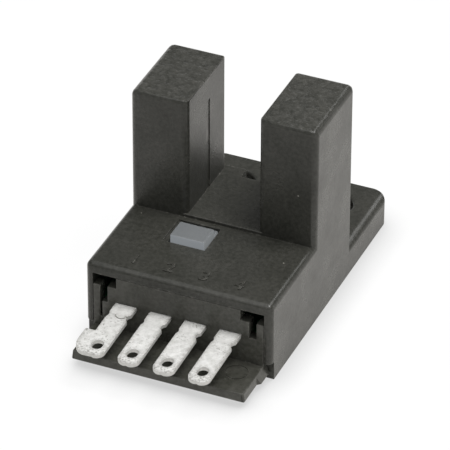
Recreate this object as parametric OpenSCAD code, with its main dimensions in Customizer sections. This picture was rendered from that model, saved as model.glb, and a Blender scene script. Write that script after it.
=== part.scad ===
// Slotted optical switch: a black moulded case with two upright arms, a beam that crosses
// the slot between them, a rear flange for two screws, and four flat solder terminals.
// Millimetres. The origin is midway between the two screw holes, on the underside.
// +Z is up, +Y points from the terminals to the rear flange.

/* [Case] */
// Width over the case and over the outer faces of the arms
case_w = 13.6; // [13:0.1:16]
// Length of the deck, from the front face to the arms
deck_l = 7.55; // [7.2:0.05:10]
// Height of the deck
deck_h = 6.15; // [5.9:0.05:7]
// Thickness of the deck
deck_t = 0.75; // [0.5:0.05:0.9]
// Thickness of the side walls of the base
side_t = 0.55; // [0.35:0.05:0.65]
// Rounding of the outer edges of the base and of the arms' corners
edge_r = 0.45; // [0.2:0.05:0.6]
// Height of the notch under each front post
post_notch_h = 1.35; // [1.3:0.05:1.8]
// Depth of the notch under each front post
post_notch_d = 0.5; // [0.3:0.05:0.7]
// Width of the ribs that press on the board
rib_w = 0.6; // [0.4:0.1:1]
// Length of the ribs that press on the board
rib_l = 1.2; // [0.8:0.1:2]

/* [Flange] */
// Thickness of the rear flange
flange_h = 2.1; // [1.6:0.1:3]
// Diameter of the screw holes
hole_d = 3.2; // [2.6:0.1:3.4]
// Distance between the screw holes
hole_pitch = 7.4; // [6.8:0.1:7.8]
// From the back of the arms to the line of the screw holes
arm_to_holes = 4.4; // [2.5:0.1:7]
// From the line of the screw holes to the rear edge
holes_to_rear = 2.9; // [2.4:0.1:6]
// Rounding of the rear corners, seen from above
corner_r = 1.0; // [0.5:0.1:1.3]
// Rounding of the flange's upper side edges
flange_edge_r = 0.35; // [0.1:0.05:0.5]

/* [Arms] */
// Height of the arms above the underside
arm_h = 15.35; // [14.8:0.05:18]
// Depth of the arms, along the case
arm_d = 6.7; // [6.2:0.1:8]
// Width of the slot between the arms
slot_w = 5.2; // [4.8:0.1:5.8]
// Rise of the slot's floor above the deck
floor_step = 0.22; // [0.1:0.02:0.4]
// Rounding of the floor's rear edge
floor_r = 0.2; // [0.1:0.05:0.8]
// Width of the notch in the floor's rear edge
rear_notch_w = 2.34; // [1.6:0.02:3]
// How far the notch reaches in from the floor's rear edge
rear_notch_l = 0.95; // [0.4:0.05:1.1]
// Depth of the notch below the slot's floor
rear_notch_d = 0.72; // [0.4:0.02:0.8]
// Wall thickness of the hollow arms
arm_t = 0.7; // [0.5:0.05:0.9]
// Rounding of the arms' outer upper edges
top_r = 0.45; // [0.1:0.05:0.5]
// Rounding of the arms' front and rear upper edges
end_r = 0.3; // [0.1:0.05:0.5]

/* [Beam] */
// From the top of the arms down to the beam
beam_drop = 4.15; // [3.6:0.05:5]
// From the arms' front face to the beam
beam_y = 3.5; // [3.2:0.05:3.7]
// Width of the groove that leads to each slit
groove_w = 0.66; // [0.62:0.02:1.2]
// Depth of the groove that leads to each slit
groove_d = 0.05; // [0.03:0.01:0.3]
// From the top of the arms down to the groove's upper end
groove_drop = 1.8; // [1.2:0.05:2.4]
// Width of each slit
slit_w = 0.5; // [0.4:0.05:0.6]
// Height of each slit
slit_h = 2.2; // [1.6:0.1:2.6]

/* [Terminals] */
// Distance between neighbouring terminals
pitch = 2.54; // [2.3:0.01:2.6]
// Width of a terminal
terminal_w = 1.55; // [1.2:0.05:1.7]
// Thickness of the terminal sheet
terminal_t = 0.3; // [0.2:0.05:0.5]
// Length of a terminal in front of the case
terminal_reach = 5.7; // [4.8:0.05:8]
// Height of a terminal's underside where it leaves the case
terminal_h = 3.07; // [2.9:0.05:3.2]
// Downward slope of the terminals in degrees
droop = 2; // [0:0.5:4]
// Rounding of the terminals' free corners
tip_r = 0.6; // [0.3:0.05:0.65]
// Width of the wire hole
wire_hole_w = 0.84; // [0.6:0.02:0.94]
// Length of the wire hole, along the terminal
wire_hole_l = 1.0; // [0.96:0.02:1.2]
// From the wire hole's centre to the tip
wire_hole_to_tip = 1.12; // [0.9:0.02:1.5]
// From the case to the middle of the notches in a terminal's edges
notch_y = 1.2; // [0.8:0.05:2]
// Radius of the notches in a terminal's edges
notch_r = 0.45; // [0.3:0.05:0.5]
// Depth of the notch in a terminal's left edge
notch_left_d = 0.09; // [0.05:0.01:0.15]
// Depth of the notch in a terminal's right edge
notch_right_d = 0.2; // [0.1:0.01:0.25]
// Width of a terminal's tail inside the case
tail_w = 1.0; // [0.7:0.05:1.1]
// Length of a terminal's tail behind the front wall
tail_l = 1.6; // [1:0.1:2]
// How far the first terminal's side flag stands out
flag_w = 0.72; // [0.4:0.02:0.8]
// Length of the first terminal's side flag
flag_l = 2.45; // [1.8:0.05:3]
// Rounding of the side flag's free corner
flag_r = 0.95; // [0.6:0.05:1.1]

/* [Base cover] */
// Thickness of the cover plate
cover_t = 0.72; // [0.6:0.02:0.8]
// Height of the cover plate's underside above the case's underside
cover_rise = 0.52; // [0.4:0.02:0.6]
// How far the ledge stands out in front of the case
ledge_reach = 3.45; // [2:0.05:4.5]
// Thickness of the front wall
front_t = 0.8; // [0.6:0.05:1]
// Width of the spring tab at each end of the front wall
tab_w = 0.52; // [0.4:0.02:0.7]
// Gap between a spring tab and the front wall
tab_gap = 0.53; // [0.4:0.02:0.6]
// How far the front wall's end steps down beside the gap
shelf_w = 0.64; // [0.4:0.02:0.8]
// Height of the opening above the spring tabs
tab_drop = 0.86; // [0.6:0.02:1]
// Depth of the gap below the tab's top
tab_slit = 1.28; // [0.8:0.02:1.4]
// Width of the fine cut that frees the left tab below the gap
relief_w = 0.14; // [0.08:0.02:0.2]
// Length of the fine cut below the gap
relief_l = 1.25; // [0.8:0.05:1.4]
// How far the shoulders under the front posts stand out from the ledge's side, at its underside
shoulder_w = 0.28; // [0.1:0.01:0.3]
// Length of the shoulders in front of the case
shoulder_l = 1.25; // [0.6:0.05:1.6]
// Side of the square pillars that carry the board
pillar_w = 1.0; // [0.7:0.1:1.2]

/* [Indicator] */
// Width of the light pipe above the deck
lens_w = 2.52; // [2:0.02:3]
// Length of the light pipe above the deck
lens_l = 1.73; // [1.4:0.01:1.8]
// How far the light pipe stands above the deck
lens_rise = 0.6; // [0.3:0.05:1]
// Length of the low step behind the light pipe's block
lens_step_l = 0.67; // [0.3:0.01:0.7]
// How far the low step stands above the deck
lens_step_rise = 0.05; // [0:0.01:0.1]
// From the front face to the light pipe
lens_y = 4.42; // [4:0.01:4.5]
// Distance of the light pipe's centre from the centre line, to the left
lens_x = 1.26; // [1:0.01:1.6]
// Width of the gap on the left of the light pipe
lens_gap_left = 0.5; // [0.2:0.01:0.6]
// From the light pipe's block to the rear edge of its window
lens_gap_rear = 0.95; // [0.2:0.01:1]
// Width of the gap on the right of and in front of the light pipe
lens_gap_close = 0.06; // [0.04:0.01:0.1]
// How far the light pipe's collar reaches past its window
collar_w = 0.3; // [0.2:0.05:0.4]
// Thickness of the light pipe's collar
collar_t = 0.4; // [0.3:0.05:0.6]
// Air gap between the light pipe and its lamp
lamp_gap = 0.1; // [0.05:0.01:0.2]

/* [Board and devices] */
// Thickness of the circuit board
board_t = 0.8; // [0.6:0.05:0.9]
// Gap around the edge of the circuit board
board_gap = 0.15; // [0.1:0.01:0.25]
// Width of the emitter's and the receiver's packages
package_w = 4.0; // [3.4:0.1:4.4]
// Height of the emitter's and the receiver's packages
package_h = 4.4; // [4:0.1:4.8]
// Thickness of the emitter's and the receiver's packages
package_t = 1.9; // [1.4:0.1:2.1]
// Distance between neighbouring leads
lead_pitch = 1.27; // [1.1:0.01:1.4]
// Diameter of the leads
lead_d = 0.45; // [0.35:0.05:0.5]
// How far the leads pass through the board
lead_out = 0.5; // [0.3:0.05:0.6]
// Diameter of the plated holes in the board
lead_hole_d = 0.65; // [0.6:0.05:0.75]
// Length of the small chip parts
chip_l = 1.6; // [1.2:0.1:1.8]
// Width of the small chip parts
chip_w = 0.8; // [0.5:0.05:1]
// Height of the resistors
resistor_h = 0.45; // [0.3:0.05:0.6]
// Height of the capacitor
capacitor_h = 0.8; // [0.5:0.05:1]
// Height of the indicator lamp
lamp_h = 0.6; // [0.4:0.05:0.8]
// Length of the transistor's package
transistor_l = 2.9; // [2.4:0.1:3]
// Width of the transistor's package
transistor_w = 1.3; // [1.1:0.05:1.5]
// Height of the transistor and of the diode
package_top = 1.0; // [0.8:0.05:1.2]
// Width of the transistor's and the diode's feet
foot_w = 0.4; // [0.3:0.05:0.5]
// Length of the transistor's and the diode's feet
foot_l = 0.5; // [0.3:0.05:0.6]
// Thickness of the transistor's and the diode's feet
foot_t = 0.15; // [0.1:0.01:0.2]
// Spacing of the parts on the board from their neighbours
part_gap = 0.35; // [0.25:0.05:0.5]

/* [Fits] */
// Clearance between the base cover and the case
fit_gap = 0.03; // [0.02:0.01:0.05]
// Clearance of a terminal in the front wall
terminal_gap = 0.03; // [0.02:0.01:0.06]
// Clearance of a lens rib in its slit
slit_gap = 0.03; // [0.02:0.01:0.05]
// Clearance between a lead and its solder
solder_gap = 0.01; // [0.01:0.01:0.02]

/* [Hidden] */
$fn = 48;
eps = 0.5;
half_w = case_w / 2;
slot_x = slot_w / 2;

// Places along the case, from the terminals to the rear
arm_back_y = -arm_to_holes;
arm_front_y = arm_back_y - arm_d;
front_y = arm_front_y - deck_l;
rear_y = holes_to_rear;
beam_place_y = arm_front_y + beam_y;

// Heights
floor_h = deck_h + floor_step;
ceiling_h = deck_h - deck_t;
cover_top = cover_rise + cover_t;
beam_h = arm_h - beam_drop;
groove_top = arm_h - groove_drop;
board_top = terminal_h;
board_low = board_top - board_t;

// Inside of the base and of one arm
inner_x = half_w - side_t;
inner_back_y = arm_back_y - arm_t;
arm_in_x0 = slot_x + arm_t;
arm_in_x1 = half_w - arm_t;

// Front wall of the base cover
cover_x = inner_x - fit_gap;
tab_x = cover_x - tab_w;
wall_x = tab_x - tab_gap;
shelf_x = wall_x - shelf_w;
tab_top = ceiling_h - tab_drop;
gap_low = tab_top - tab_slit;
relief_low = gap_low - relief_l;
wall_top = ceiling_h - fit_gap;
wall_back_y = front_y + front_t;

// Circuit board
board_x = inner_x - board_gap;
board_y0 = wall_back_y + board_gap;
board_y1 = inner_back_y - board_gap;
tail_end_y = wall_back_y + tail_l;
part_row_y = front_y + lens_y + lens_l / 2;
diode_y = board_y1 - part_gap - foot_l - chip_w / 2;
capacitor_y = diode_y - foot_l - part_gap - chip_w;

// Light pipe and its window
lens_x0 = -lens_x - lens_w / 2;
lens_x1 = lens_x0 + lens_w;
lens_y0 = front_y + lens_y;
lens_y1 = lens_y0 + lens_l;
window_x0 = lens_x0 - lens_gap_left;
window_x1 = lens_x1 + lens_gap_close;
window_y0 = lens_y0 - lens_gap_close;
window_y1 = lens_y1 + lens_gap_rear;

// Emitter, receiver and their leads
device_x = arm_in_x0 + package_t / 2;
package_low = beam_h - package_h / 2;
solder_r = (lead_hole_d + lead_out) / 2;
rear_pillar_x = device_x - solder_r - part_gap - pillar_w;
emitter_leads_at = [-lead_pitch, lead_pitch];
receiver_leads_at = [-lead_pitch, 0, lead_pitch];

mould_black = [0.13, 0.13, 0.13];
cover_black = [0.10, 0.10, 0.10];
tin = [0.84, 0.84, 0.81];
pale_grey = [0.62, 0.64, 0.67];
board_green = [0.10, 0.32, 0.18];
smoked_resin = [0.16, 0.08, 0.12];
solder_grey = [0.70, 0.71, 0.72];
chip_black = [0.08, 0.08, 0.09];
lamp_white = [0.93, 0.91, 0.84];
ceramic_tan = [0.66, 0.55, 0.42];

// Flat rectangle between two corners, with all four corners rounded
module round_rect(x0, y0, x1, y1, r) {
    translate([x0 + r, y0]) square([x1 - x0 - 2 * r, y1 - y0]);
    translate([x0, y0 + r]) square([x1 - x0, y1 - y0 - 2 * r]);
    for (x = [x0 + r, x1 - r], y = [y0 + r, y1 - r]) {
        translate([x, y]) circle(r);
    }
}

// Block between two corners
module block(low, high) {
    translate(low) cube(high - low);
}

// Outline drawn across the width and height, pushed along Y
module along_y(y0, y1) {
    translate([0, y1, 0]) rotate([90, 0, 0]) linear_extrude(y1 - y0) children();
}

// Outline drawn along the length and height, pushed along X
module along_x(x0, x1) {
    translate([x0, 0, 0]) rotate([90, 0, 90]) linear_extrude(x1 - x0) children();
}

// The piece as drawn and its mirror image on the other side
module both_sides() {
    children();
    mirror([1, 0, 0]) children();
}

// Deck and base, with rounded front corners and a rounded lip
module deck_body() {
    intersection() {
        linear_extrude(deck_h) round_rect(-half_w, front_y, half_w, arm_back_y, edge_r);
        along_y(front_y - eps, arm_back_y + eps) round_rect(-half_w, -edge_r * 3, half_w, deck_h, edge_r);
        along_x(-half_w - eps, half_w + eps)
            round_rect(front_y, -edge_r * 3, arm_back_y + edge_r * 3, deck_h, edge_r);
    }
}

// Rear flange
module flange_body() {
    intersection() {
        linear_extrude(flange_h)
            round_rect(-half_w, arm_back_y - corner_r * 2, half_w, rear_y, corner_r);
        along_y(front_y, rear_y + eps)
            round_rect(-half_w, -corner_r * 2, half_w, flange_h, flange_edge_r);
    }
}

// Right arm, rounded on its outer upper edge and its corners
module arm_body() {
    intersection() {
        linear_extrude(arm_h) round_rect(slot_x, arm_front_y, half_w, arm_back_y, edge_r);
        along_y(arm_front_y - eps, arm_back_y + eps)
            round_rect(slot_x - top_r * 3, -top_r * 3, half_w, arm_h, top_r);
        along_x(slot_x - eps, half_w + eps)
            round_rect(arm_front_y, -end_r * 3, arm_back_y, arm_h, end_r);
    }
}

// Raised floor of the slot, square at the front and round at the rear
module slot_floor() {
    along_x(-slot_x - arm_t / 2, slot_x + arm_t / 2) {
        round_rect(arm_front_y, ceiling_h - floor_r * 3, arm_back_y, floor_h, floor_r);
        translate([arm_front_y, ceiling_h]) square([arm_d / 2, floor_h - ceiling_h]);
    }
}

// Notch in the rear edge of the slot's floor
module rear_notch() {
    block([-rear_notch_w / 2, arm_back_y - rear_notch_l, floor_h - rear_notch_d],
        [rear_notch_w / 2, arm_back_y + eps, floor_h + eps]);
}

// Hollow of the base and of both arms
module case_hollow() {
    block([-inner_x, front_y - eps, -eps], [inner_x, inner_back_y, ceiling_h]);
    both_sides()
        block([arm_in_x0, arm_front_y + arm_t, 0], [arm_in_x1, inner_back_y, arm_h - arm_t]);
}

// Groove and slit on the right arm's inner face, cut on both arms
module beam_slit() {
    block([slot_x - eps, beam_place_y - groove_w / 2, floor_h],
        [slot_x + groove_d, beam_place_y + groove_w / 2, groove_top]);
    block([slot_x, beam_place_y - slit_w / 2, beam_h - slit_h / 2],
        [arm_in_x0 + eps / 2, beam_place_y + slit_w / 2, beam_h + slit_h / 2]);
}

// Moulded case: deck, arms, flange and the ribs that hold the board down
module case() {
    color(mould_black) {
        difference() {
            union() {
                deck_body();
                flange_body();
                slot_floor();
                both_sides() arm_body();
            }
            case_hollow();
            rear_notch();
            both_sides() beam_slit();
            both_sides()
                block([inner_x - eps, front_y - eps, -eps],
                    [half_w + eps, front_y + post_notch_d, post_notch_h]);
            block([window_x0, window_y0, ceiling_h - eps], [window_x1, window_y1, deck_h + eps]);
            both_sides()
                translate([hole_pitch / 2, 0, -eps]) cylinder(h = flange_h + 2 * eps, d = hole_d);
        }
        both_sides()
            block([inner_x - rib_w, part_row_y - rib_l / 2, board_top],
                [inner_x + side_t / 2, part_row_y + rib_l / 2, ceiling_h + deck_t / 2]);
    }
}

// Outline of the front wall: a spring tab at each end, parted from the wall by a gap
module front_wall_outline() {
    difference() {
        polygon([
            [cover_x, cover_rise], [cover_x, tab_top], [tab_x, tab_top], [tab_x, gap_low],
            [wall_x, gap_low], [wall_x, tab_top], [shelf_x, tab_top], [shelf_x, wall_top],
            [-shelf_x, wall_top], [-shelf_x, tab_top], [-wall_x, tab_top], [-wall_x, gap_low],
            [-tab_x, gap_low], [-tab_x, tab_top], [-cover_x, tab_top], [-cover_x, cover_rise]
        ]);
        translate([-tab_x, relief_low]) square([relief_w, relief_l + tab_slit / 2]);
    }
}

// Shoulder on the right of the ledge: widest at the underside, with a slanted front end
module shoulder() {
    back_y = front_y + post_notch_d - fit_gap;
    intersection() {
        along_y(front_y - shoulder_l, back_y)
            polygon([
                [cover_x - eps, cover_rise], [cover_x + shoulder_w, cover_rise],
                [cover_x, cover_top], [cover_x - eps, cover_top]
            ]);
        linear_extrude(cover_top + eps)
            polygon([
                [cover_x - eps, front_y - shoulder_l], [cover_x, front_y - shoulder_l],
                [cover_x + shoulder_w, front_y - shoulder_l + shoulder_w],
                [cover_x + shoulder_w, back_y + eps], [cover_x - eps, back_y + eps]
            ]);
    }
}

// Pillar on the cover plate, up to the underside of the board
module pillar(x, y) {
    block([x, y, cover_rise], [x + pillar_w, y + pillar_w, board_low]);
}

// Base cover: plate and ledge, front wall, shoulders and the pillars under the board
module base_cover() {
    color(cover_black)
        difference() {
            union() {
                block([-cover_x, front_y - ledge_reach, cover_rise],
                    [cover_x, inner_back_y - fit_gap, cover_top]);
                both_sides() shoulder();
                along_y(front_y, wall_back_y) front_wall_outline();
                both_sides() {
                    pillar(board_x - pillar_w, board_y0);
                    pillar(rear_pillar_x, board_y1 - pillar_w);
                }
            }
            for (i = [0 : 3]) {
                block([terminal_x(i) - terminal_w / 2 - terminal_gap, front_y - eps,
                        terminal_h - terminal_gap],
                    [terminal_x(i) + terminal_w / 2 + terminal_gap, wall_back_y + eps,
                        terminal_h + terminal_t + terminal_gap]);
            }
        }
}

// Distance of terminal i from the centre line
function terminal_x(i) = (i - 1.5) * pitch;

// Oblong hole for a wire
module wire_hole() {
    shift = (wire_hole_l - wire_hole_w) / 2;
    translate([-wire_hole_w / 2, -shift]) square([wire_hole_w, shift * 2]);
    for (y = [-shift, shift]) {
        translate([0, y]) circle(d = wire_hole_w);
    }
}

// Flat outline of a terminal's blade, from the case to its tip
module blade_outline() {
    tip_y = front_y - terminal_reach;
    difference() {
        union() {
            round_rect(-terminal_w / 2, tip_y, terminal_w / 2, front_y + front_t, tip_r);
            translate([-terminal_w / 2, front_y]) square([terminal_w, front_t / 2]);
            children();
        }
        translate([0, tip_y + wire_hole_to_tip]) wire_hole();
        translate([-terminal_w / 2 - notch_r + notch_left_d, front_y - notch_y]) circle(notch_r);
        translate([terminal_w / 2 + notch_r - notch_right_d, front_y - notch_y]) circle(notch_r);
        translate([-terminal_w, front_y + front_t / 4]) square([terminal_w * 2, front_t]);
    }
}

// Side flag of the first terminal
module flag_outline() {
    flag_x = -terminal_w / 2 - flag_w;
    flag_y = front_y - terminal_reach + tip_r / 20;
    round_rect(flag_x, flag_y, terminal_w / 2, flag_y + flag_l, flag_r);
    translate([flag_x, flag_y + flag_r]) square([flag_w + tip_r, flag_l - flag_r]);
}

// Terminal stamped from sheet: a drooping blade outside and a straight tail on the board
module terminal(i) {
    color(tin)
        translate([terminal_x(i), 0, terminal_h]) {
            translate([0, front_y, 0]) rotate([droop, 0, 0]) translate([0, -front_y, 0])
                linear_extrude(terminal_t) blade_outline() children();
            block([-terminal_w / 2, front_y, 0], [terminal_w / 2, wall_back_y, terminal_t]);
            block([-tail_w / 2, front_y, 0], [tail_w / 2, tail_end_y, terminal_t]);
        }
}

module terminal_1() {
    terminal(0) flag_outline();
}

module terminal_2() {
    terminal(1);
}

module terminal_3() {
    terminal(2);
}

module terminal_4() {
    terminal(3);
}

// Light pipe: a block that shows above the deck, a low step behind it, and a collar under the deck
module indicator_lens() {
    color(pale_grey) {
        block([lens_x0, lens_y0, board_top + lamp_h + lamp_gap], [lens_x1, lens_y1, deck_h + lens_rise]);
        block([lens_x0, lens_y1 - lens_l / 2, ceiling_h - collar_t],
            [lens_x1, lens_y1 + lens_step_l, deck_h + lens_step_rise]);
        block([window_x0 - collar_w, window_y0 - collar_w, ceiling_h - collar_t],
            [window_x1 + collar_w, window_y1 + collar_w, ceiling_h]);
    }
}

// Circuit board with plated holes for the leads
module circuit_board() {
    color(board_green)
        difference() {
            block([-board_x, board_y0, board_low], [board_x, board_y1, board_top]);
            for (y = emitter_leads_at) {
                translate([-device_x, beam_place_y + y, board_low - eps])
                    cylinder(h = board_t + 2 * eps, d = lead_hole_d);
            }
            for (y = receiver_leads_at) {
                translate([device_x, beam_place_y + y, board_low - eps])
                    cylinder(h = board_t + 2 * eps, d = lead_hole_d);
            }
        }
}

// Resin package in the right arm, with the lens rib that fills the slit
module device_package() {
    rib_x = slot_x + groove_d;
    block([arm_in_x0, beam_place_y - package_w / 2, package_low],
        [arm_in_x0 + package_t, beam_place_y + package_w / 2, package_low + package_h]);
    block([rib_x, beam_place_y - slit_w / 2 + slit_gap, beam_h - slit_h / 2 + slit_gap],
        [arm_in_x0 + package_t / 2, beam_place_y + slit_w / 2 - slit_gap, beam_h + slit_h / 2 - slit_gap]);
}

module emitter() {
    color(smoked_resin) mirror([1, 0, 0]) device_package();
}

module receiver() {
    color(smoked_resin) device_package();
}

// Straight leads from a package down through the board
module leads(x, places) {
    for (y = places) {
        translate([x, beam_place_y + y, board_low - lead_out])
            cylinder(h = package_low - board_low + lead_out, d = lead_d);
    }
}

module emitter_leads() {
    color(tin) leads(-device_x, emitter_leads_at);
}

module receiver_leads() {
    color(tin) leads(device_x, receiver_leads_at);
}

// Small part that stands on the board, centred at a place
module on_board(x, y, size) {
    block([x - size[0] / 2, y - size[1] / 2, board_top],
        [x + size[0] / 2, y + size[1] / 2, board_top + size[2]]);
}

// Moulded package on flat feet, one row of feet on each side
module footed_package(x, y, l, w, near_feet, far_feet) {
    translate([x, y, board_top]) {
        block([-l / 2, -w / 2, foot_t / 2], [l / 2, w / 2, package_top]);
        for (place = near_feet) {
            block([place - foot_w / 2, -w / 2 - foot_l, 0], [place + foot_w / 2, 0, foot_t]);
        }
        for (place = far_feet) {
            block([place - foot_w / 2, 0, 0], [place + foot_w / 2, w / 2 + foot_l, foot_t]);
        }
    }
}

module indicator_lamp() {
    color(lamp_white) on_board(-lens_x, part_row_y, [chip_l, chip_w, lamp_h]);
}

module output_transistor() {
    foot_place = transistor_l / 2 - foot_w;
    color(chip_black)
        footed_package(inner_x - rib_w - part_gap - transistor_l / 2, part_row_y, transistor_l,
            transistor_w, [-foot_place, foot_place], [0]);
}

module protection_diode() {
    color(chip_black)
        footed_package(0, diode_y, chip_l, chip_w, [0], [0]);
}

// Resistors on the left of the light pipe, one behind the other
module chip_resistors() {
    x = -inner_x + rib_w + part_gap + chip_w / 2;
    spread = (chip_l + part_gap) / 2;
    color(ceramic_tan)
        for (y = [part_row_y - spread, part_row_y + spread]) {
            on_board(x, y, [chip_w, chip_l, resistor_h]);
        }
}

module bypass_capacitor() {
    color(ceramic_tan) on_board(0, capacitor_y, [chip_l, chip_w, capacitor_h]);
}

// Solder behind each terminal's tail and round each lead under the board
module solder_joints() {
    color(solder_grey) {
        for (i = [0 : 3]) {
            along_x(terminal_x(i) - tail_w / 2, terminal_x(i) + tail_w / 2)
                polygon([
                    [tail_end_y, board_top], [tail_end_y + terminal_t, board_top],
                    [tail_end_y, board_top + terminal_t]
                ]);
        }
        for (y = emitter_leads_at) {
            lead_solder(-device_x, beam_place_y + y);
        }
        for (y = receiver_leads_at) {
            lead_solder(device_x, beam_place_y + y);
        }
    }
}

// Cone of solder round one lead
module lead_solder(x, y) {
    translate([x, y, board_low - lead_out])
        difference() {
            cylinder(h = lead_out, d1 = lead_d + lead_out / 2, d2 = solder_r * 2);
            translate([0, 0, -eps]) cylinder(h = lead_out + 2 * eps, d = lead_d + 2 * solder_gap);
        }
}

case();
base_cover();
terminal_1();
terminal_2();
terminal_3();
terminal_4();
indicator_lens();
circuit_board();
emitter();
emitter_leads();
receiver();
receiver_leads();
indicator_lamp();
output_transistor();
protection_diode();
chip_resistors();
bypass_capacitor();
solder_joints();
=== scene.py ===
import math

import bmesh
import bpy
import numpy as np
from mathutils import Matrix, Vector


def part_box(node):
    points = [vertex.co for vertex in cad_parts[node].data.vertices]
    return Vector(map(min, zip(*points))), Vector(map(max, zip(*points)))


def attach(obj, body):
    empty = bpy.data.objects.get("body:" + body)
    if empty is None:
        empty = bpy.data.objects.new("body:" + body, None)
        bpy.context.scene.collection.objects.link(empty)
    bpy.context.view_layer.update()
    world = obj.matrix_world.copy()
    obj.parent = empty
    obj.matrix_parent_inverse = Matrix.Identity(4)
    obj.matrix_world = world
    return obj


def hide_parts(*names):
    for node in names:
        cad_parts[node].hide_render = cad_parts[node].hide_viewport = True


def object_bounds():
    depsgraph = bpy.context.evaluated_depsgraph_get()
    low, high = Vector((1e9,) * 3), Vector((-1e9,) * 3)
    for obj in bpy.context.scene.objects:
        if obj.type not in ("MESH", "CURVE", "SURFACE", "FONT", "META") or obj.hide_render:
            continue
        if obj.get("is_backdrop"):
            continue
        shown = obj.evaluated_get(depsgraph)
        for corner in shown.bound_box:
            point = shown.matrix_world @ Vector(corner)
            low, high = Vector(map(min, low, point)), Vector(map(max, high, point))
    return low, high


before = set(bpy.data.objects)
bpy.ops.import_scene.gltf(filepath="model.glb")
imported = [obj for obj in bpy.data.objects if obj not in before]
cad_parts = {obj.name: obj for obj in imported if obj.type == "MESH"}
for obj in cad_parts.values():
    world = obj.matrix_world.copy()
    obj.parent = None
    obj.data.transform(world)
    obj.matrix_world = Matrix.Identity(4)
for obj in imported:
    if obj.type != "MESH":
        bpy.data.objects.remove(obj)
cad_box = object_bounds()


# Case: one moulding of black glass-filled plastic with the deck, the two hollow arms that face
# each other across the slot, and the rear flange for two screws. The tool is spark eroded, so
# the skin has a fine grain, coarser on the arms' tops, and every outer edge is rounded.
MM = 0.001
case_low, case_high = (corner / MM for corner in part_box("case"))
half_w = case_high.x
front_y = case_low.y
rear_y = case_high.y
arm_h = case_high.z
deck_h = 6.15
floor_h = 6.37
ceiling_h = 5.4
flange_h = 2.1
arm_front_y = front_y + 7.55
arm_back_y = arm_front_y + 6.7
slot_x = 2.6
side_x = half_w - 0.55
arm_wall = 0.7
inner_back_y = arm_back_y - arm_wall
post_low = 1.35
post_deep = 0.5
groove_top = 13.55
groove_deep = 0.05
slit_low, slit_high = 10.1, 12.3
beam_y = arm_front_y + 3.5
groove_half, slit_half = 0.33, 0.25
rear_notch_x, rear_notch_y, rear_notch_low = 1.08, arm_back_y - 0.95, floor_h - 0.72
hole_x, hole_r, hole_flare = 3.7, 1.34, 0.21
window_low = Vector((-3.02, front_y + 4.36, ceiling_h))
window_high = Vector((0.06, front_y + 7.1, deck_h + 1))
shelf_w, shelf_deep = 0.31, 0.1
board_top = 3.07
rib_x, rib_y, rib_half = side_x - 0.6, front_y + 5.285, 0.6


def mirrored(step):
    """A block and its twin on the other side of the centre line."""
    solid, low, high = step
    return [step, (solid, (-high[0], low[1], low[2]), (-low[0], high[1], high[2]))]


def mesh_of_blocks(steps):
    """Closed mesh of blocks that are added (True) or cut away (False) in turn, in millimetres."""
    lines = [sorted({round(c[axis], 4) for _, *pair in steps for c in pair}) for axis in range(3)]
    index = [{value: i for i, value in enumerate(line)} for line in lines]
    filled = np.zeros([len(line) + 1 for line in lines], int)
    for solid, low, high in steps:
        span = [slice(index[a][round(low[a], 4)] + 1, index[a][round(high[a], 4)] + 1) for a in range(3)]
        filled[tuple(span)] = int(solid)
    mesh = bmesh.new()
    corners = {}

    def corner(key):
        if key not in corners:
            corners[key] = mesh.verts.new([lines[a][key[a]] for a in range(3)])
        return corners[key]

    for axis in range(3):
        u, v = (axis + 1) % 3, (axis + 2) % 3
        change = np.diff(filled, axis=axis)
        for cell in np.argwhere(change):
            quad = []
            for du, dv in ((-1, -1), (0, -1), (0, 0), (-1, 0)):
                key = [0, 0, 0]
                key[axis] = int(cell[axis])
                key[u] = int(cell[u]) + du
                key[v] = int(cell[v]) + dv
                quad.append(corner(tuple(key)))
            mesh.faces.new(quad if change[tuple(cell)] < 0 else quad[::-1])
    bmesh.ops.dissolve_limit(mesh, angle_limit=0.01, verts=mesh.verts[:], edges=mesh.edges[:])
    return mesh


def piece_from(mesh, name):
    """New object made from a mesh in millimetres."""
    data = bpy.data.meshes.new(name)
    mesh.to_mesh(data)
    mesh.free()
    piece = bpy.data.objects.new(name, data)
    bpy.context.scene.collection.objects.link(piece)
    return piece


def apply_modifiers(piece):
    """Turns a piece's modifiers into plain mesh."""
    depsgraph = bpy.context.evaluated_depsgraph_get()
    data = bpy.data.meshes.new_from_object(piece.evaluated_get(depsgraph), depsgraph=depsgraph)
    piece.modifiers.clear()
    piece.data = data


def combine(piece, others, operation):
    """Joins the other shapes to the piece, or cuts them away from it, and deletes them."""
    for other in others:
        step = piece.modifiers.new(operation, "BOOLEAN")
        step.operation = operation
        step.object = other
        step.solver = "MANIFOLD"
    apply_modifiers(piece)
    for other in others:
        bpy.data.objects.remove(other)


def rounded_block(name, low, high, radii, segments=6):
    """Block with rounded edges. An edge is named by its direction and its side on the other two axes,
    so "x-+" runs along X at the block's front and top."""
    mesh = bmesh.new()
    bmesh.ops.create_cube(mesh, size=1)
    low, high = Vector(low), Vector(high)
    weight = mesh.edges.layers.float.new("bevel_weight_edge")
    for edge in mesh.edges:
        middle = (edge.verts[0].co + edge.verts[1].co) / 2
        along = min(range(3), key=lambda axis: abs(middle[axis]))
        sides = "".join("+" if middle[axis] > 0 else "-" for axis in range(3) if axis != along)
        edge[weight] = radii.get("xyz"[along] + sides, 0)
    for vert in mesh.verts:
        vert.co = Vector(((low + high) / 2)[axis] + vert.co[axis] * (high - low)[axis] for axis in range(3))
    block = piece_from(mesh, name)
    bevel = block.modifiers.new("rounding", "BEVEL")
    bevel.limit_method = "WEIGHT"
    bevel.width = 1
    bevel.segments = segments
    apply_modifiers(block)
    return block


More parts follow.
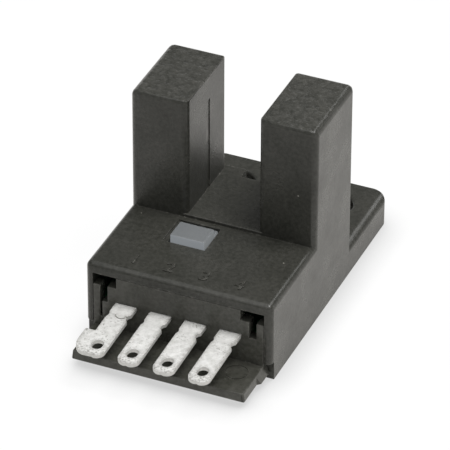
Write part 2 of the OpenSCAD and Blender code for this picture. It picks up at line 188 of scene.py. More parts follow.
def round_edges(piece, radius_of, segments):
    """Rounds each outward edge by the radius in millimetres that radius_of gives for its ends."""
    mesh = bmesh.new()
    mesh.from_mesh(piece.data)
    weight = mesh.edges.layers.float.new("bevel_weight_edge")
    for edge in mesh.edges:
        if len(edge.link_faces) == 2 and edge.is_convex and edge.calc_face_angle(0) > 0.35:
            edge[weight] = radius_of(*(vert.co for vert in edge.verts))
    mesh.to_mesh(piece.data)
    mesh.free()
    bevel = piece.modifiers.new("rounding", "BEVEL")
    bevel.limit_method = "WEIGHT"
    bevel.width = 1
    bevel.segments = segments
    bevel.use_clamp_overlap = False
    apply_modifiers(piece)


def drill(x, y, low, high, radius, name, flare=0.0, sides=72):
    """Round tool along Z. With a flare it also eases the rim of the hole, at the height of high."""
    mesh = bmesh.new()
    outline = [(radius, low), (radius, high - flare)]
    if flare:
        for step in range(1, 5):
            turn = math.radians(90 * step / 4)
            outline.append((radius + flare * (1 - math.cos(turn)), high - flare + flare * math.sin(turn)))
    outline.append((outline[-1][0], high + 1))
    rings = []
    for r, z in outline:
        turns = [2 * math.pi * side / sides for side in range(sides)]
        rings.append([mesh.verts.new((x + r * math.cos(t), y + r * math.sin(t), z)) for t in turns])
    for lower, upper in zip(rings, rings[1:]):
        for side in range(sides):
            after = (side + 1) % sides
            mesh.faces.new((lower[side], lower[after], upper[after], upper[side]))
    mesh.faces.new(rings[0][::-1])
    mesh.faces.new(rings[-1])
    return piece_from(mesh, name)


def finish_shape(piece):
    """Brings a piece from millimetres to metres and shades it: flat faces flat, rounded edges smooth."""
    piece.data.transform(Matrix.Scale(MM, 4))
    piece.data.shade_smooth()
    piece.data.set_sharp_from_angle(angle=math.radians(32))
    shading = piece.modifiers.new("shading", "WEIGHTED_NORMAL")
    shading.keep_sharp = True
    shading.weight = 100
    apply_modifiers(piece)
    piece.data.materials.clear()


upright_r, top_r, end_r, lip_r = 0.45, 0.45, 0.3, 0.45
arm_inner_r, floor_front_r, floor_rear_r = 0.08, 0.07, 0.03
flange_corner_x, flange_corner_y, flange_rim_r, flange_rear_r = 1.65, 1.1, 0.68, 0.06
notch_side_r, window_side_r, post_end_r = 0.28, 0.07, 0.22
bury = 1.0
case = rounded_block("switch_case", (-half_w, front_y, 0), (half_w, arm_back_y - bury, deck_h), {
    "z--": upright_r, "z+-": upright_r, "x-+": lip_r, "y-+": lip_r, "y++": lip_r})
right_arm = rounded_block("right_arm", (slot_x, arm_front_y, 0), (half_w, arm_back_y, arm_h), {
    "z--": upright_r, "z-+": upright_r, "z+-": upright_r, "z++": upright_r,
    "x-+": end_r, "x++": end_r, "y++": top_r, "y-+": arm_inner_r})
left_arm = rounded_block("left_arm", (-half_w, arm_front_y, 0), (-slot_x, arm_back_y, arm_h), {
    "z--": upright_r, "z-+": upright_r, "z+-": upright_r, "z++": upright_r,
    "x-+": end_r, "x++": end_r, "y-+": top_r, "y++": arm_inner_r})
slot_floor = rounded_block(
    "slot_floor", (-slot_x - bury, arm_front_y, 0), (slot_x + bury, arm_back_y, floor_h),
    {"x-+": floor_front_r, "x++": floor_rear_r})
flange = rounded_block("flange", (-half_w, arm_back_y - bury, 0), (half_w, rear_y, flange_h), {
    "x++": flange_rear_r, "y-+": flange_rim_r, "y++": flange_rim_r})


def corner_tool(side):
    """Shape outside a rounded corner of the flange, seen from above, to be cut away."""
    outline = [
        (half_w - flange_corner_x * (1 - math.cos(turn)), rear_y - flange_corner_y * (1 - math.sin(turn)))
        for turn in (math.radians(9 * step) for step in range(11))
    ]
    outline += [(half_w - flange_corner_x, rear_y + 1), (half_w + 1, rear_y + 1),
                (half_w + 1, rear_y - flange_corner_y)]
    mesh = bmesh.new()
    low, high = ([mesh.verts.new((side * x, y, z)) for x, y in outline] for z in (-1, flange_h + 1))
    mesh.faces.new(low)
    mesh.faces.new(high)
    for i, vert in enumerate(low):
        mesh.faces.new((low[i - 1], vert, high[i], high[i - 1]))
    bmesh.ops.recalc_face_normals(mesh, faces=mesh.faces[:])
    return piece_from(mesh, "corner_tool")


combine(flange, [corner_tool(-1), corner_tool(1)], "DIFFERENCE")
combine(case, [flange, slot_floor, left_arm, right_arm], "UNION")

inside = piece_from(mesh_of_blocks([
    (True, (-side_x, front_y - 1, -1), (side_x, inner_back_y, ceiling_h)),
    *mirrored((True, (slot_x + arm_wall, arm_front_y + arm_wall, -1),
               (half_w - arm_wall, inner_back_y, arm_h - arm_wall))),
    *mirrored((False, (rib_x, rib_y - rib_half, board_top), (side_x, rib_y + rib_half, ceiling_h))),
    (True, window_low, window_high),
    (False, (window_low.x, window_low.y, ceiling_h),
     (window_low.x + shelf_w, window_high.y, deck_h - shelf_deep)),
    (True, (-rear_notch_x, rear_notch_y, rear_notch_low), (rear_notch_x, arm_back_y + 1, floor_h + 1)),
    *mirrored((True, (side_x, front_y - 1, -1), (half_w + 1, front_y + post_deep, post_low))),
    *mirrored((True, (slot_x, beam_y - slit_half, slit_low),
               (slot_x + arm_wall, beam_y + slit_half, slit_high))),
]), "inside")
grooves = piece_from(mesh_of_blocks([
    (True, (-slot_x - groove_deep, beam_y - groove_half, floor_h),
     (slot_x + groove_deep, beam_y + groove_half, groove_top)),
]), "grooves")
screw_holes = [
    drill(side * hole_x, 0, -1, flange_h, hole_r, "screw_hole", flare=hole_flare) for side in (-1, 1)
]
combine(case, [inside, grooves, *screw_holes], "DIFFERENCE")


def at(value, place):
    """Whether a coordinate in millimetres lies at a place."""
    return abs(value - place) < 0.001


def ease_edges(mesh, edges, width):
    """Rounds the given edges of a mesh by a width in millimetres."""
    bmesh.ops.bevel(mesh, geom=edges, offset=width, segments=3, profile=0.5, affect="EDGES",
                    clamp_overlap=True)


case_mesh = bmesh.new()
case_mesh.from_mesh(case.data)
post_ends = [
    edge for edge in case_mesh.edges
    if all(at(vert.co.z, post_low) for vert in edge.verts)
    and edge.is_convex
    and min(abs(vert.co.x) for vert in edge.verts) > side_x - 0.001
    and min(vert.co.y for vert in edge.verts) < front_y + post_deep - 0.01
]
notch_sides = [
    edge for edge in case_mesh.edges
    if all(at(vert.co.z, floor_h) and at(abs(vert.co.x), rear_notch_x) for vert in edge.verts)
]
window_side = [
    edge for edge in case_mesh.edges
    if all(at(vert.co.z, deck_h) and at(vert.co.x, window_low.x) for vert in edge.verts)
]
ease_edges(case_mesh, notch_sides, notch_side_r)
ease_edges(case_mesh, window_side, window_side_r)
ease_edges(case_mesh, post_ends, post_end_r)
case_mesh.to_mesh(case.data)
case_mesh.free()
finish_shape(case)


def new_group(name, inputs, outputs):
    """Empty shader node group with named number sockets; returns its nodes, links and two ends."""
    group = bpy.data.node_groups.new(name, "ShaderNodeTree")
    for label, value in inputs.items():
        socket = group.interface.new_socket(name=label, in_out="INPUT", socket_type="NodeSocketFloat")
        socket.default_value = value
    for label in outputs:
        group.interface.new_socket(name=label, in_out="OUTPUT", socket_type="NodeSocketFloat")
    entry = group.nodes.new("NodeGroupInput")
    leave = group.nodes.new("NodeGroupOutput")
    return group, entry, leave


def add_node(tree, kind, settings=(), **inputs):
    """Node with its settings, and its inputs given as values or as sockets to link.
    i0, i1 and so on name an input by its place."""
    node = tree.nodes.new(kind)
    for name, value in dict(settings).items():
        setattr(node, name, value)
    for name, value in inputs.items():
        key = int(name[1:]) if name[1:].isdigit() else name.replace("_", " ")
        if isinstance(value, bpy.types.NodeSocket):
            tree.links.new(value, node.inputs[key])
        else:
            node.inputs[key].default_value = value
    return node


def place_in_mm(tree):
    """The point on the part in millimetres, for textures with real sizes."""
    point = add_node(tree, "ShaderNodeTexCoord").outputs["Object"]
    scaled = add_node(tree, "ShaderNodeVectorMath", {"operation": "SCALE"}, i0=point)
    scaled.inputs["Scale"].default_value = 1 / MM
    return scaled.outputs["Vector"]


def blend(tree, share, first, second):
    """Colour between two colours or sockets by a share."""
    node = add_node(tree, "ShaderNodeMix", {"data_type": "RGBA"}, i0=share, i6=first, i7=second)
    return node.outputs[2]


def remap(tree, value, from_low, from_high, to_low, to_high):
    """Number carried from one range to another and held inside it."""
    node = add_node(tree, "ShaderNodeMapRange", Value=value, From_Min=from_low, From_Max=from_high,
                    To_Min=to_low, To_Max=to_high)
    return node.outputs["Result"]


# The skin that a spark-eroded mould leaves: fine grain, broad clouds of gloss, and settled dust
skin, skin_in, skin_out = new_group(
    "moulded skin", {"Grains per mm": 8.0, "Clouds per mm": 0.3}, ["Grain", "Cloud", "Mottle", "Dust"])
skin_place = place_in_mm(skin)
grain_noise = add_node(skin, "ShaderNodeTexNoise", Vector=skin_place, Detail=3.0,
                       Scale=skin_in.outputs["Grains per mm"])
cloud_noise = add_node(skin, "ShaderNodeTexNoise", Vector=skin_place, Detail=4.0, Roughness=0.6,
                       Scale=skin_in.outputs["Clouds per mm"])
mottle_noise = add_node(skin, "ShaderNodeTexNoise", Vector=skin_place, Detail=2.0, Roughness=0.6, Scale=3.6)
dust_cells = add_node(skin, "ShaderNodeTexVoronoi", Vector=skin_place, Scale=0.9)
dust_pick = add_node(skin, "ShaderNodeSeparateColor", i0=dust_cells.outputs["Color"])
dust_near = remap(skin, dust_cells.outputs["Distance"], 0.03, 0.06, 1.0, 0.0)
dust_rare = remap(skin, dust_pick.outputs[0], 0.80, 0.86, 0.0, 1.0)
dust = add_node(skin, "ShaderNodeMath", {"operation": "MULTIPLY"}, i0=dust_near, i1=dust_rare)
skin.links.new(grain_noise.outputs[0], skin_out.inputs["Grain"])
skin.links.new(cloud_noise.outputs[0], skin_out.inputs["Cloud"])
skin.links.new(remap(skin, mottle_noise.outputs[0], 0.34, 0.68, 0.0, 1.0), skin_out.inputs["Mottle"])
skin.links.new(dust.outputs[0], skin_out.inputs["Dust"])

# Mask of rounded edges, where the rounded normal departs from the true one: on the mouldings it marks
# rubbed wear and a painted highlight, on the tin a painted shade line
rub_and_edge_shading, edge_in, edge_out = new_group("rubbed edge and edge shading", {"Width mm": 0.2}, ["Rub"])
edge_width = add_node(rub_and_edge_shading, "ShaderNodeMath", {"operation": "MULTIPLY"}, i0=edge_in.outputs[0], i1=MM)
edge_round = add_node(rub_and_edge_shading, "ShaderNodeBevel", {"samples": 4}, Radius=edge_width.outputs[0])
edge_true = add_node(rub_and_edge_shading, "ShaderNodeNewGeometry")
edge_dot = add_node(rub_and_edge_shading, "ShaderNodeVectorMath", {"operation": "DOT_PRODUCT"},
                   i0=edge_round.outputs[0], i1=edge_true.outputs["Normal"])
rub_and_edge_shading.links.new(remap(rub_and_edge_shading, edge_dot.outputs["Value"], 0.75, 0.98, 1.0, 0.0), edge_out.inputs["Rub"])


def new_material(name):
    """Material with its node tree and its shader."""
    material = bpy.data.materials.new(name)
    material.use_nodes = True
    return material, material.node_tree, material.node_tree.nodes["Principled BSDF"]


def use_group(tree, group, **values):
    """Places a node group in a material with its own values; returns its outputs."""
    node = tree.nodes.new("ShaderNodeGroup")
    node.node_tree = group
    for name, value in values.items():
        node.inputs[name.replace("_", " ")].default_value = value
    return node.outputs


worn_grey, rubbed_and_highlit_grey = (0.118, 0.116, 0.105, 1), (0.082, 0.079, 0.072, 1)
chip_and_glint_grey, dust_grey = (0.24, 0.235, 0.21, 1), (0.28, 0.27, 0.24, 1)


def moulded_plastic(name, deep, pale, rough_low, rough_high, grains, relief_um, gloss=1.35, top_mm=None):
    """Black moulded plastic; surfaces above top_mm have a coarser, deeper grain."""
    material, tree, shader = new_material(name)
    shader.inputs["IOR"].default_value = gloss
    marks = use_group(tree, skin, Grains_per_mm=grains)
    edges = use_group(tree, rub_and_edge_shading)
    cloud = remap(tree, marks["Cloud"], 0.3, 0.7, 0.0, 0.5)
    patchy = add_node(tree, "ShaderNodeMath", {"operation": "MULTIPLY_ADD"},
                      i0=marks["Mottle"], i1=0.5, i2=cloud)
    tone = blend(tree, patchy.outputs[0], deep, pale)
    fine = add_node(tree, "ShaderNodeBump", Height=marks["Grain"], Distance=relief_um * 1e-6)
    normal = fine.outputs[0]
    if top_mm is not None:
        rough_skin = use_group(tree, skin, Grains_per_mm=2.2)
        height = add_node(tree, "ShaderNodeSeparateXYZ", i0=place_in_mm(tree)).outputs["Z"]
        on_top = remap(tree, height, top_mm - 0.12, top_mm, 0.0, 1.0)
        lumps = add_node(tree, "ShaderNodeMath", {"operation": "MULTIPLY"},
                         i0=rough_skin["Grain"], i1=on_top)
        worn = remap(tree, lumps.outputs[0], 0.4, 0.75, 0.0, 0.26)
        tone = blend(tree, worn, tone, worn_grey)
        coarse = add_node(tree, "ShaderNodeBump", Height=lumps.outputs[0], Distance=110e-6, Normal=normal)
        normal = coarse.outputs[0]
    # Edges are lightened, partly as rubbed wear and partly as a painted highlight; the sparse pale chips
    # along them are partly real chips and partly painted glints.
    rubbed_and_highlit = blend(tree, remap(tree, edges["Rub"], 0.0, 1.0, 0.0, 0.35), tone, rubbed_and_highlit_grey)
    chip_and_glint_noise = add_node(tree, "ShaderNodeTexNoise", Vector=place_in_mm(tree), Scale=2.4, Detail=3.0)
    chips_and_glints = add_node(tree, "ShaderNodeMath", {"operation": "MULTIPLY"}, i0=edges["Rub"],
                       i1=remap(tree, chip_and_glint_noise.outputs[0], 0.56, 0.70, 0.0, 0.7))
    chipped_and_glinting = blend(tree, chips_and_glints.outputs[0], rubbed_and_highlit, chip_and_glint_grey)
    dusty = blend(tree, marks["Dust"], chipped_and_glinting, dust_grey)
    tree.links.new(dusty, shader.inputs["Base Color"])
    tree.links.new(remap(tree, marks["Cloud"], 0.3, 0.7, rough_high, rough_low), shader.inputs["Roughness"])
    tree.links.new(normal, shader.inputs["Normal"])
    return material


case_plastic = moulded_plastic("black moulding", (0.0205, 0.0212, 0.0172, 1), (0.0565, 0.0562, 0.0495, 1),
                               0.24, 0.34, 8.0, 12, top_mm=arm_h)
case.data.materials.append(case_plastic)
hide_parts("case")
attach(case, "root")


# Base cover: a second black moulding that snaps into the case from below. It brings the front
# wall with four slots for the terminals, a spring tab at each end, and the ledge under the
# terminals, which carries the round mark of an ejector pin.
cover_low, cover_high = (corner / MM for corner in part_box("base_cover"))
ledge_front_y = cover_low.y
plate_low = cover_low.z
plate_high = plate_low + 0.72
wall_top = cover_high.z
cover_x = side_x - 0.03
shoulder_x = cover_high.x
shoulder_front_y = front_y - 1.25
shoulder_back_y = front_y + post_deep - 0.03
wall_t = 0.8
wall_back_y = front_y + wall_t
tab_x = cover_x - 0.52
wall_x = tab_x - 0.53
shelf_x = wall_x - 0.64
tab_top = ceiling_h - 0.86
gap_low = tab_top - 1.28
relief_low = gap_low - 1.25
relief_w = 0.14
terminal_places = [(i - 1.5) * 2.54 for i in range(4)]
terminal_half = 0.775
terminal_low, terminal_t, terminal_play = 3.07, 0.3, 0.03
board_low = board_top - 0.8
board_low_y, board_high_y = (corner.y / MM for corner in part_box("circuit_board"))
board_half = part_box("circuit_board")[1].x / MM
pillar = 1.0
ledge_draft = 0.1
rear_pillar_x = 2.325
ring_place = Vector((4.85, front_y - 1.3))
ring_r, ring_line, ring_deep = 0.8, 0.07, 0.05

cover_steps = [
    (True, (-cover_x, ledge_front_y, plate_low), (cover_x, inner_back_y - 0.03, plate_high)),
    (True, (-shelf_x, front_y, plate_high), (shelf_x, wall_back_y, wall_top)),
    *mirrored((True, (shelf_x, front_y, plate_high), (wall_x, wall_back_y, tab_top))),
    *mirrored((True, (wall_x, front_y, plate_high), (tab_x, wall_back_y, gap_low))),
    (False, (-tab_x, front_y, relief_low), (relief_w - tab_x, wall_back_y, gap_low)),
    *mirrored((True, (tab_x, front_y, plate_high), (cover_x, wall_back_y, tab_top))),
    *mirrored((True, (board_half - pillar, board_low_y, plate_high),
               (board_half, board_low_y + pillar, board_low))),
    *mirrored((True, (rear_pillar_x, board_high_y - pillar, plate_high),
               (rear_pillar_x + pillar, board_high_y, board_low))),
    *[(False, (x - terminal_half - terminal_play, front_y, terminal_low - terminal_play),
       (x + terminal_half + terminal_play, wall_back_y, terminal_low + terminal_t + terminal_play))
      for x in terminal_places],
]


def radius_lookup(rounding, small):
    """Radius by an edge's direction and its place across it, the same on both sides of the part."""
    def radius_of(a, b):
        along = max(range(3), key=lambda i: abs(a[i] - b[i]))
        across = [abs(a[0]) if i == 0 else a[i] for i in range(3) if i != along]
        for (axis, first, second), radius in rounding.items():
            if axis == "xyz"[along] and abs(across[0] - first) + abs(across[1] - second) < 0.02:
                return radius
        return small
    return radius_of


cover = piece_from(mesh_of_blocks(cover_steps), "switch_base_cover")
ledge_corner_r, ledge_top_r, ledge_under_r, cover_edge_r = 0.15, 0.08, 0.12, 0.035
cover_rounding = {
    ("z", cover_x, ledge_front_y): ledge_corner_r,
    ("x", ledge_front_y, plate_high): ledge_top_r,
    ("y", cover_x, plate_high): ledge_top_r,
    ("y", cover_x, plate_low): ledge_under_r,
    ("x", ledge_front_y, plate_low): ledge_under_r,
}
round_edges(cover, radius_lookup(cover_rounding, cover_edge_r), 3)
ledge_mesh = bmesh.new()
ledge_mesh.from_mesh(cover.data)
ledge_end_y = shoulder_front_y - 0.02
bmesh.ops.bisect_plane(ledge_mesh, geom=ledge_mesh.verts[:] + ledge_mesh.edges[:] + ledge_mesh.faces[:],
                       plane_co=(0, ledge_end_y, 0), plane_no=(0, 1, 0))
for vert in ledge_mesh.verts:
    if vert.co.y < ledge_end_y + 0.001 and abs(vert.co.x) > cover_x - 0.3:
        share = (plate_high - vert.co.z) / (plate_high - plate_low)
        vert.co.x += math.copysign(ledge_draft * share, vert.co.x)
ledge_mesh.to_mesh(cover.data)
ledge_mesh.free()


def shoulder_shape(side):
    """Wedge beside the ledge, widest at the underside, with a slanted front end."""
    in_x, top = cover_x - 0.5, plate_high - 0.08
    slant_y = shoulder_front_y + shoulder_x - cover_x
    mesh = bmesh.new()
    front = [mesh.verts.new((side * x, y, z)) for x, y, z in (
        (in_x, shoulder_front_y, plate_low), (cover_x, shoulder_front_y, plate_low),
        (shoulder_x, slant_y, plate_low), (cover_x, shoulder_front_y, top), (in_x, shoulder_front_y, top))]
    rear = [mesh.verts.new((side * x, shoulder_back_y, z)) for x, z in (
        (in_x, plate_low), (shoulder_x, plate_low), (cover_x, top), (in_x, top))]
    mesh.faces.new((front[0], front[1], front[3], front[4]))
    mesh.faces.new((front[1], front[2], front[3]))
    mesh.faces.new((front[2], rear[1], rear[2], front[3]))
    mesh.faces.new((front[3], rear[2], rear[3], front[4]))
    mesh.faces.new((front[0], rear[0], rear[1], front[2], front[1]))
    mesh.faces.new((front[0], front[4], rear[3], rear[0]))
    mesh.faces.new(rear)
    bmesh.ops.recalc_face_normals(mesh, faces=mesh.faces[:])
    return piece_from(mesh, "shoulder")


combine(cover, [shoulder_shape(-1), shoulder_shape(1)], "UNION")
ring_tool = drill(*ring_place, plate_high - ring_deep, plate_high, ring_r, "ring_tool", sides=48)
ring_core = drill(*ring_place, plate_low, plate_high + 1, ring_r - ring_line, "ring_core", sides=48)
combine(ring_tool, [ring_core], "DIFFERENCE")
combine(cover, [ring_tool], "DIFFERENCE")
finish_shape(cover)
cover_plastic = moulded_plastic("cover moulding", (0.029, 0.0296, 0.0235, 1), (0.074, 0.0735, 0.064, 1),
                                0.20, 0.28, 6.0, 8, gloss=1.40)
cover.data.materials.append(cover_plastic)
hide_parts("base_cover")
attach(cover, "root")


# Terminals: four tongues stamped from brass sheet and dipped in tin. Each passes through the
# front wall and lies soldered on the board; outside it droops a little and ends in a wire hole.
# The first has a broad flag on its left side and a half-round punch mark near the case.
tip_y = -5.7
droop = math.radians(2)
tip_r = 0.6
wire_hole_y, wire_hole_r, wire_hole_shift = tip_y + 1.12, 0.38, 0.1
notch_y, notch_r = -1.2, 0.45
left_notch, right_notch = 0.09, 0.2
flag_x = -terminal_half - 0.72
flag_r, flag_rise, flag_rear_r, flag_low_y = 0.92, 1.3, 0.12, tip_y + 0.03
flag_back_y = flag_low_y + 2.45
tail_half, tail_back_y = 0.5, wall_t + 1.6
sheet_rim = 0.03
punch_x, punch_y, punch_r, punch_line, punch_deep = 0.16, -1.02, 0.43, 0.1, 0.13


def arc(x, y, r, start_deg, end_deg, count=10):
    """Points along an arc round a centre."""
    angles = [math.radians(start_deg + (end_deg - start_deg) * i / count) for i in range(count + 1)]
    return [(x + r * math.cos(a), y + r * math.sin(a)) for a in angles]


def blade_outline(with_flag):
    """Outline of a blade, clockwise from its right root corner; Y is zero at the front wall."""
    right_turn = math.degrees(math.acos((notch_r - right_notch) / notch_r))
    left_turn = math.degrees(math.acos((notch_r - left_notch) / notch_r))
    points = [(terminal_half, 0.2)]
    points += arc(terminal_half + notch_r - right_notch, notch_y, notch_r,
                  180 - right_turn, 180 + right_turn)
    points += arc(terminal_half - tip_r, tip_y + tip_r, tip_r, 0, -90)
    if with_flag:
        points += [(0.02, tip_y + 0.06)]
        for turn in (math.radians(-90 - 90 * step / 12) for step in range(13)):
            points.append((flag_x + flag_r * (1 + math.cos(turn)),
                           flag_low_y + flag_rise * (1 + math.sin(turn))))
        points += arc(flag_x + flag_rear_r, flag_back_y - flag_rear_r, flag_rear_r, 180, 90, 4)
        points += [(-terminal_half, flag_back_y)]
    else:
        points += [(0.0, tip_y + 0.05)]
        points += arc(-terminal_half + tip_r, tip_y + tip_r, tip_r, -90, -180)
    points += arc(-terminal_half - notch_r + left_notch, notch_y, notch_r, -left_turn, left_turn)
    return points + [(-terminal_half, 0.2)]


def stamped_sheet(name, outlines):
    """Sheet of the terminals' thickness with softened rims, from an outline and its holes."""
    curve = bpy.data.curves.new(name, "CURVE")
    curve.dimensions = "2D"
    curve.fill_mode = "BOTH"
    curve.extrude = terminal_t / 2 - sheet_rim
    curve.bevel_depth = sheet_rim
    curve.bevel_resolution = 3
    curve.offset = -sheet_rim
    for points in outlines:
        spline = curve.splines.new("POLY")
        spline.points.add(len(points) - 1)
        spline.use_cyclic_u = True
        for point, (x, y) in zip(spline.points, points):
            point.co = (x, y, 0, 1)
    rough = bpy.data.objects.new(name, curve)
    bpy.context.scene.collection.objects.link(rough)
    depsgraph = bpy.context.evaluated_depsgraph_get()
    mesh = bmesh.new()
    mesh.from_mesh(bpy.data.meshes.new_from_object(rough.evaluated_get(depsgraph), depsgraph=depsgraph))
    bpy.data.objects.remove(rough)
    bmesh.ops.remove_doubles(mesh, verts=mesh.verts[:], dist=0.0001)
    return piece_from(mesh, name)


def punch_tool():
    """Half ring that cuts the punch mark into a sheet's upper face."""
    outline = arc(punch_x, punch_y, punch_r + punch_line / 2, -165, -5, 16)
    outline += arc(punch_x, punch_y, punch_r - punch_line / 2, -5, -165, 16)
    mesh = bmesh.new()
    levels = (terminal_t / 2 - punch_deep, terminal_t)
    low, high = ([mesh.verts.new((x, y, z)) for x, y in outline] for z in levels)
    mesh.faces.new(low)
    mesh.faces.new(high)
    for i, vert in enumerate(low):
        mesh.faces.new((low[i - 1], vert, high[i], high[i - 1]))
    bmesh.ops.recalc_face_normals(mesh, faces=mesh.faces[:])
    return piece_from(mesh, "punch_tool")


# Hot-dipped tin: pale blotches, duller veins, small dark pits, and stains round the wire holes
bloom, bloom_in, bloom_out = new_group("tin bloom", {"Blotches per mm": 2.4}, ["Blotch", "Pit", "Ripple"])
bloom_place = place_in_mm(bloom)
blotch_noise = add_node(bloom, "ShaderNodeTexNoise", Vector=bloom_place, Detail=5.0, Roughness=0.65,
                        Scale=bloom_in.outputs[0])
ripple_noise = add_node(bloom, "ShaderNodeTexNoise", Vector=bloom_place, Detail=2.0, Scale=5.0)
pit_noise = add_node(bloom, "ShaderNodeTexNoise", Vector=bloom_place, Detail=2.0, Roughness=0.6, Scale=6.5)
pit_field = add_node(bloom, "ShaderNodeTexNoise", Vector=bloom_place, Detail=1.0, Scale=0.8)
pit = add_node(bloom, "ShaderNodeMath", {"operation": "MULTIPLY"},
               i0=remap(bloom, pit_noise.outputs[0], 0.58, 0.68, 0.0, 1.0),
               i1=remap(bloom, pit_field.outputs[0], 0.44, 0.58, 0.1, 1.0))
bloom.links.new(remap(bloom, blotch_noise.outputs[0], 0.35, 0.65, 0.0, 1.0), bloom_out.inputs["Blotch"])
bloom_along = add_node(bloom, "ShaderNodeSeparateXYZ", i0=bloom_place).outputs["Y"]
near_tip = remap(bloom, bloom_along, front_y + tip_y + 0.35, front_y + tip_y + 1.5, 0.85, 0.0)
tip_stain = add_node(bloom, "ShaderNodeMath", {"operation": "MULTIPLY"}, i0=near_tip,
                     i1=remap(bloom, pit_noise.outputs[0], 0.50, 0.62, 0.0, 1.0))
marked = add_node(bloom, "ShaderNodeMath", {"operation": "MAXIMUM"},
                  i0=pit.outputs[0], i1=tip_stain.outputs[0])
bloom.links.new(marked.outputs[0], bloom_out.inputs["Pit"])
bloom.links.new(ripple_noise.outputs[0], bloom_out.inputs["Ripple"])


pit_and_rim_shade_grey = (0.20, 0.195, 0.175, 1)


def tinned_metal(name, pale, dull, cut_edge, rough_low, rough_high):
    """Tin over brass, duller and slightly yellow on the cut edges, with a painted shade line along the
    rims.
    """
    material, tree, shader = new_material(name)
    tin = use_group(tree, bloom)
    facing = add_node(tree, "ShaderNodeNewGeometry").outputs["Normal"]
    face = add_node(tree, "ShaderNodeSeparateXYZ", i0=facing)
    upright = add_node(tree, "ShaderNodeMath", {"operation": "ABSOLUTE"}, i0=face.outputs["Z"])
    on_edge = remap(tree, upright.outputs[0], 0.3, 0.7, 0.8, 0.0)
    tone = blend(tree, tin["Blotch"], dull, pale)
    pitted = blend(tree, remap(tree, tin["Pit"], 0.0, 1.0, 0.0, 0.8), tone, pit_and_rim_shade_grey)
    # Painted shade: a dark line along the sheet's rims, where the face rolls over the edge.
    rims = use_group(tree, rub_and_edge_shading, Width_mm=0.5)
    rim_shade = add_node(tree, "ShaderNodeMath", {"operation": "MULTIPLY"}, i0=rims["Rub"],
                     i1=remap(tree, tin["Ripple"], 0.35, 0.6, 0.3, 0.9))
    rim_shaded = blend(tree, rim_shade.outputs[0], pitted, pit_and_rim_shade_grey)
    tree.links.new(blend(tree, on_edge, rim_shaded, cut_edge), shader.inputs["Base Color"])
    tree.links.new(remap(tree, tin["Blotch"], 0.0, 1.0, rough_high, rough_low), shader.inputs["Roughness"])
    shader.inputs["Metallic"].default_value = 0.2
    relief = add_node(tree, "ShaderNodeBump", Height=tin["Ripple"], Distance=30e-6)
    tree.links.new(relief.outputs[0], shader.inputs["Normal"])
    return material


tinned_sheet = tinned_metal("tinned sheet", (0.79, 0.79, 0.775, 1), (0.57, 0.57, 0.55, 1),
                            (0.60, 0.595, 0.57, 1), 0.42, 0.58)
wire_hole = arc(0, wire_hole_y + wire_hole_shift, wire_hole_r, 0, 180, 16)
wire_hole += arc(0, wire_hole_y - wire_hole_shift, wire_hole_r, 180, 360, 16)
tail = [(-terminal_half, 0.0), (-terminal_half, wall_t), (-tail_half, wall_t), (-tail_half, tail_back_y),
        (tail_half, tail_back_y), (tail_half, wall_t), (terminal_half, wall_t), (terminal_half, 0.0)]
for number, x in enumerate(terminal_places, start=1):
    terminal = stamped_sheet(f"solder_terminal_{number}", [blade_outline(number == 1), wire_hole])
    if number == 1:
        combine(terminal, [punch_tool()], "DIFFERENCE")
    terminal.data.transform(Matrix.Rotation(droop, 4, "X"))
    combine(terminal, [stamped_sheet("tail", [tail])], "UNION")
    terminal.data.transform(Matrix.Translation((x, front_y, terminal_low + terminal_t / 2)))
    finish_shape(terminal)
    terminal.data.materials.append(tinned_sheet)
    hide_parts(f"terminal_{number}")
    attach(terminal, "root")


# Light pipe: a block of clouded grey resin that carries the lamp's light up through the deck.
# It stands proud of its window with a low step behind it, and its collar under the deck keeps it
# from falling out.
pipe_low, pipe_high = (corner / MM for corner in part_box("indicator_lens"))
pipe_x0, pipe_x1 = -2.52, 0.0
pipe_y0, pipe_y1 = front_y + 4.42, front_y + 6.15
step_l, step_rise = 0.67, 0.05
collar_low = ceiling_h - 0.4
pipe_edge_r = 0.09
pipe = piece_from(mesh_of_blocks([
    (True, (pipe_x0, pipe_y0, pipe_low.z), (pipe_x1, pipe_y1, pipe_high.z)),
    (True, (pipe_x0, pipe_y1, pipe_low.z), (pipe_x1, pipe_y1 + step_l, deck_h + step_rise)),
    (True, (pipe_low.x, pipe_low.y, collar_low), (pipe_high.x, pipe_high.y, ceiling_h)),
]), "indicator_light_pipe")
round_edges(pipe, radius_lookup({}, pipe_edge_r), 3)
finish_shape(pipe)
grey_resin, resin_tree, resin_shader = new_material("grey resin")
resin_marks = use_group(resin_tree, skin, Grains_per_mm=5.0, Clouds_per_mm=1.2)
resin_tone = blend(resin_tree, resin_marks["Cloud"], (0.130, 0.139, 0.145, 1), (0.158, 0.167, 0.173, 1))
resin_tree.links.new(blend(resin_tree, resin_marks["Dust"], resin_tone, (0.4, 0.4, 0.4, 1)),
                     resin_shader.inputs["Base Color"])
